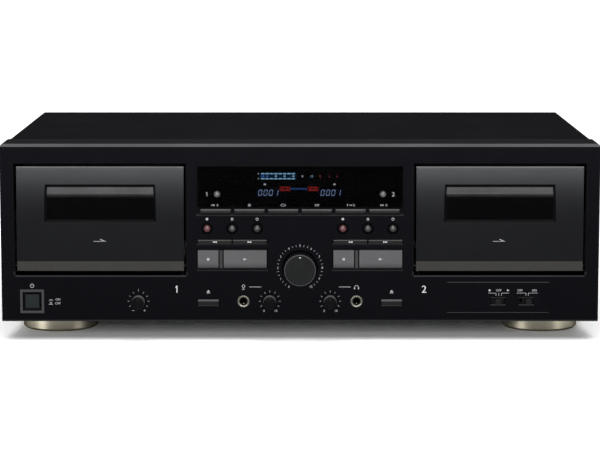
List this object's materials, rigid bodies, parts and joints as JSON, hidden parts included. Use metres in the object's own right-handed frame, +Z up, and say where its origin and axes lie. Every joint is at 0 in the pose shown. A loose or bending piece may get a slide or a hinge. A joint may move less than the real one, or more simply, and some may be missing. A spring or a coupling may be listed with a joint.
{
  "type": "double cassette deck",
  "caption": "Full-width hi-fi cassette deck with hinged cassette doors over tape transports, a display window, transport keys, a large level knob, jacks and round feet.",
  "frame": {"origin": "on the surface that the feet stand on, under the middle of the deck's box", "axes": "+X to the right as seen from the front, +Y from the front panel to the rear, +Z up"},
  "size_m": [0.435, 0.285, 0.145],
  "materials": {
    "panel_plastic": "satin",
    "cover_paint": "fine matt",
    "chassis_steel": "zinc plated",
    "rear_paint": "fine matt",
    "foot_gold": "champagne gold",
    "screw_steel": "black zinc",
    "display_black": "polished",
    "tube_glass": "clear",
    "board_green": "lacquered",
    "transformer_iron": "varnished",
    "transport_zinc": "zinc plated",
    "belt_rubber": "matt",
    "jack_black": "nickel ring",
    "socket_black": "gold plated sleeves",
    "door_plastic": "satin",
    "lens_smoke": "smoked",
    "holder_black": "matt",
    "spindle_black": "satin",
    "flywheel_brass": "turned",
    "head_steel": "polished",
    "key_grey": "satin",
    "key_dark": "satin",
    "button_red": "satin",
    "button_dark": "satin",
    "button_grey": "satin",
    "power_plastic": "satin",
    "knob_plastic": "satin",
    "slide_plastic": "satin"
  },
  "bodies": {
    "case": {"front_panel": "panel_plastic", "top_cover": "cover_paint", "bottom_chassis": "chassis_steel", "rear_panel": "rear_paint", "feet": "foot_gold", "case_screws": "screw_steel", "display_window": "display_black", "display_tube": "tube_glass", "circuit_boards": "board_green", "power_transformer": "transformer_iron", "transport_frames": "transport_zinc", "drive_motors": "transport_zinc", "drive_belts": "belt_rubber", "jack_sockets": "jack_black", "rear_sockets": "socket_black"},
    "door_1": {"door_1": "door_plastic", "door_window_1": "lens_smoke", "cassette_holder_1": "holder_black"},
    "door_2": {"door_2": "door_plastic", "door_window_2": "lens_smoke", "cassette_holder_2": "holder_black"},
    "supply_spindle_1": {"supply_spindle_1": "spindle_black"},
    "takeup_spindle_1": {"takeup_spindle_1": "spindle_black"},
    "capstan_flywheel_1": {"capstan_flywheel_1": "flywheel_brass"},
    "head_carriage_1": {"head_carriage_1": "head_steel"},
    "supply_spindle_2": {"supply_spindle_2": "spindle_black"},
    "takeup_spindle_2": {"takeup_spindle_2": "spindle_black"},
    "capstan_flywheel_2": {"capstan_flywheel_2": "flywheel_brass"},
    "head_carriage_2": {"head_carriage_2": "head_steel"},
    "power_button": {"power_button": "power_plastic"},
    "eject_key_1": {"eject_key_1": "key_dark"},
    "eject_key_2": {"eject_key_2": "key_dark"},
    "stop_key_1": {"stop_key_1": "key_grey"},
    "stop_key_2": {"stop_key_2": "key_grey"},
    "play_key_1": {"play_key_1": "key_grey"},
    "play_key_2": {"play_key_2": "key_grey"},
    "rewind_key_1": {"rewind_key_1": "key_dark"},
    "rewind_key_2": {"rewind_key_2": "key_dark"},
    "forward_key_1": {"forward_key_1": "key_dark"},
    "forward_key_2": {"forward_key_2": "key_dark"},
    "record_button_1": {"record_button_1": "button_red"},
    "record_button_2": {"record_button_2": "button_red"},
    "pause_button_1": {"pause_button_1": "button_dark"},
    "pause_button_2": {"pause_button_2": "button_dark"},
    "mute_button_1": {"mute_button_1": "button_dark"},
    "mute_button_2": {"mute_button_2": "button_dark"},
    "counter_reset_1": {"counter_reset_1": "button_grey"},
    "counter_reset_2": {"counter_reset_2": "button_grey"},
    "return_zero_key_1": {"return_zero_key_1": "key_dark"},
    "dimmer_key": {"dimmer_key": "key_dark"},
    "repeat_key": {"repeat_key": "key_dark"},
    "parallel_key": {"parallel_key": "key_dark"},
    "dub_key": {"dub_key": "key_dark"},
    "return_zero_key_2": {"return_zero_key_2": "key_dark"},
    "level_knob": {"level_knob": "knob_plastic"},
    "pitch_knob": {"pitch_knob": "knob_plastic"},
    "mic_knob": {"mic_knob": "knob_plastic"},
    "phones_knob": {"phones_knob": "knob_plastic"},
    "timer_switch": {"timer_switch": "slide_plastic"},
    "noise_switch": {"noise_switch": "slide_plastic"}
  },
  "joints": [
    {"name": "door_1_hinge", "type": "hinge", "parent": "case", "child": "door_1", "pos_m": [-0.1451, -0.1225, 0.055], "axis": [1, 0, 0], "range_deg": [0, 25]},
    {"name": "door_2_hinge", "type": "hinge", "parent": "case", "child": "door_2", "pos_m": [0.1451, -0.1225, 0.055], "axis": [1, 0, 0], "range_deg": [0, 25]},
    {"name": "supply_spindle_1_turn", "type": "hinge", "parent": "case", "child": "supply_spindle_1", "pos_m": [-0.16635, -0.1085, 0.0962], "axis": [0, 1, 0], "continuous": true},
    {"name": "takeup_spindle_1_turn", "type": "hinge", "parent": "case", "child": "takeup_spindle_1", "pos_m": [-0.12385, -0.1085, 0.0962], "axis": [0, 1, 0], "continuous": true},
    {"name": "capstan_flywheel_1_turn", "type": "hinge", "parent": "case", "child": "capstan_flywheel_1", "pos_m": [-0.1181, -0.0915, 0.066], "axis": [0, 1, 0], "continuous": true},
    {"name": "head_carriage_1_lift", "type": "slide", "parent": "case", "child": "head_carriage_1", "axis": [0, 0, 1], "range_m": [0, 0.004], "stiffness_N_per_m": 100},
    {"name": "supply_spindle_2_turn", "type": "hinge", "parent": "case", "child": "supply_spindle_2", "pos_m": [0.12385, -0.1085, 0.0962], "axis": [0, 1, 0], "continuous": true},
    {"name": "takeup_spindle_2_turn", "type": "hinge", "parent": "case", "child": "takeup_spindle_2", "pos_m": [0.16635, -0.1085, 0.0962], "axis": [0, 1, 0], "continuous": true},
    {"name": "capstan_flywheel_2_turn", "type": "hinge", "parent": "case", "child": "capstan_flywheel_2", "pos_m": [0.1721, -0.0915, 0.066], "axis": [0, 1, 0], "continuous": true},
    {"name": "head_carriage_2_lift", "type": "slide", "parent": "case", "child": "head_carriage_2", "axis": [0, 0, 1], "range_m": [0, 0.004], "stiffness_N_per_m": 100},
    {"name": "power_button_press", "type": "slide", "parent": "case", "child": "power_button", "axis": [0, -1, 0], "range_m": [0, 0.003]},
    {"name": "eject_key_1_press", "type": "slide", "parent": "case", "child": "eject_key_1", "axis": [0, 1, 0], "range_m": [0, 0.0008], "stiffness_N_per_m": 200},
    {"name": "eject_key_2_press", "type": "slide", "parent": "case", "child": "eject_key_2", "axis": [0, 1, 0], "range_m": [0, 0.0008], "stiffness_N_per_m": 200},
    {"name": "stop_key_1_press", "type": "slide", "parent": "case", "child": "stop_key_1", "axis": [0, 1, 0], "range_m": [0, 0.0008], "stiffness_N_per_m": 200},
    {"name": "stop_key_2_press", "type": "slide", "parent": "case", "child": "stop_key_2", "axis": [0, 1, 0], "range_m": [0, 0.0008], "stiffness_N_per_m": 200},
    {"name": "play_key_1_press", "type": "slide", "parent": "case", "child": "play_key_1", "axis": [0, 1, 0], "range_m": [0, 0.0008], "stiffness_N_per_m": 200},
    {"name": "play_key_2_press", "type": "slide", "parent": "case", "child": "play_key_2", "axis": [0, 1, 0], "range_m": [0, 0.0008], "stiffness_N_per_m": 200},
    {"name": "rewind_key_1_press", "type": "slide", "parent": "case", "child": "rewind_key_1", "axis": [0, 1, 0], "range_m": [0, 0.0008], "stiffness_N_per_m": 200},
    {"name": "rewind_key_2_press", "type": "slide", "parent": "case", "child": "rewind_key_2", "axis": [0, 1, 0], "range_m": [0, 0.0008], "stiffness_N_per_m": 200},
    {"name": "forward_key_1_press", "type": "slide", "parent": "case", "child": "forward_key_1", "axis": [0, 1, 0], "range_m": [0, 0.0008], "stiffness_N_per_m": 200},
    {"name": "forward_key_2_press", "type": "slide", "parent": "case", "child": "forward_key_2", "axis": [0, 1, 0], "range_m": [0, 0.0008], "stiffness_N_per_m": 200},
    {"name": "record_button_1_press", "type": "slide", "parent": "case", "child": "record_button_1", "axis": [0, 1, 0], "range_m": [0, 0.0008], "stiffness_N_per_m": 200},
    {"name": "record_button_2_press", "type": "slide", "parent": "case", "child": "record_button_2", "axis": [0, 1, 0], "range_m": [0, 0.0008], "stiffness_N_per_m": 200},
    {"name": "pause_button_1_press", "type": "slide", "parent": "case", "child": "pause_button_1", "axis": [0, 1, 0], "range_m": [0, 0.0008], "stiffness_N_per_m": 200},
    {"name": "pause_button_2_press", "type": "slide", "parent": "case", "child": "pause_button_2", "axis": [0, 1, 0], "range_m": [0, 0.0008], "stiffness_N_per_m": 200},
    {"name": "mute_button_1_press", "type": "slide", "parent": "case", "child": "mute_button_1", "axis": [0, 1, 0], "range_m": [0, 0.0008], "stiffness_N_per_m": 200},
    {"name": "mute_button_2_press", "type": "slide", "parent": "case", "child": "mute_button_2", "axis": [0, 1, 0], "range_m": [0, 0.0008], "stiffness_N_per_m": 200},
    {"name": "counter_reset_1_press", "type": "slide", "parent": "case", "child": "counter_reset_1", "axis": [0, 1, 0], "range_m": [0, 0.0008], "stiffness_N_per_m": 200},
    {"name": "counter_reset_2_press", "type": "slide", "parent": "case", "child": "counter_reset_2", "axis": [0, 1, 0], "range_m": [0, 0.0008], "stiffness_N_per_m": 200},
    {"name": "return_zero_key_1_press", "type": "slide", "parent": "case", "child": "return_zero_key_1", "axis": [0, 1, 0], "range_m": [0, 0.0008], "stiffness_N_per_m": 200},
    {"name": "dimmer_key_press", "type": "slide", "parent": "case", "child": "dimmer_key", "axis": [0, 1, 0], "range_m": [0, 0.0008], "stiffness_N_per_m": 200},
    {"name": "repeat_key_press", "type": "slide", "parent": "case", "child": "repeat_key", "axis": [0, 1, 0], "range_m": [0, 0.0008], "stiffness_N_per_m": 200},
    {"name": "parallel_key_press", "type": "slide", "parent": "case", "child": "parallel_key", "axis": [0, 1, 0], "range_m": [0, 0.0008], "stiffness_N_per_m": 200},
    {"name": "dub_key_press", "type": "slide", "parent": "case", "child": "dub_key", "axis": [0, 1, 0], "range_m": [0, 0.0008], "stiffness_N_per_m": 200},
    {"name": "return_zero_key_2_press", "type": "slide", "parent": "case", "child": "return_zero_key_2", "axis": [0, 1, 0], "range_m": [0, 0.0008], "stiffness_N_per_m": 200},
    {"name": "level_knob_turn", "type": "hinge", "parent": "case", "child": "level_knob", "pos_m": [0, -0.1285, 0.0542], "axis": [0, 1, 0], "range_deg": [-150, 150]},
    {"name": "pitch_knob_turn", "type": "hinge", "parent": "case", "child": "pitch_knob", "pos_m": [-0.1178, -0.1285, 0.0295], "axis": [0, 1, 0], "range_deg": [-150, 150]},
    {"name": "mic_knob_turn", "type": "hinge", "parent": "case", "child": "mic_knob", "pos_m": [-0.022, -0.1285, 0.0295], "axis": [0, 1, 0], "range_deg": [-150, 150]},
    {"name": "phones_knob_turn", "type": "hinge", "parent": "case", "child": "phones_knob", "pos_m": [0.022, -0.1285, 0.0295], "axis": [0, 1, 0], "range_deg": [-150, 150]},
    {"name": "timer_switch_slide", "type": "slide", "parent": "case", "child": "timer_switch", "axis": [1, 0, 0], "range_m": [-0.0025, 0.0025]},
    {"name": "noise_switch_slide", "type": "slide", "parent": "case", "child": "noise_switch", "axis": [1, 0, 0], "range_m": [-0.0032, 0]}
  ]
}
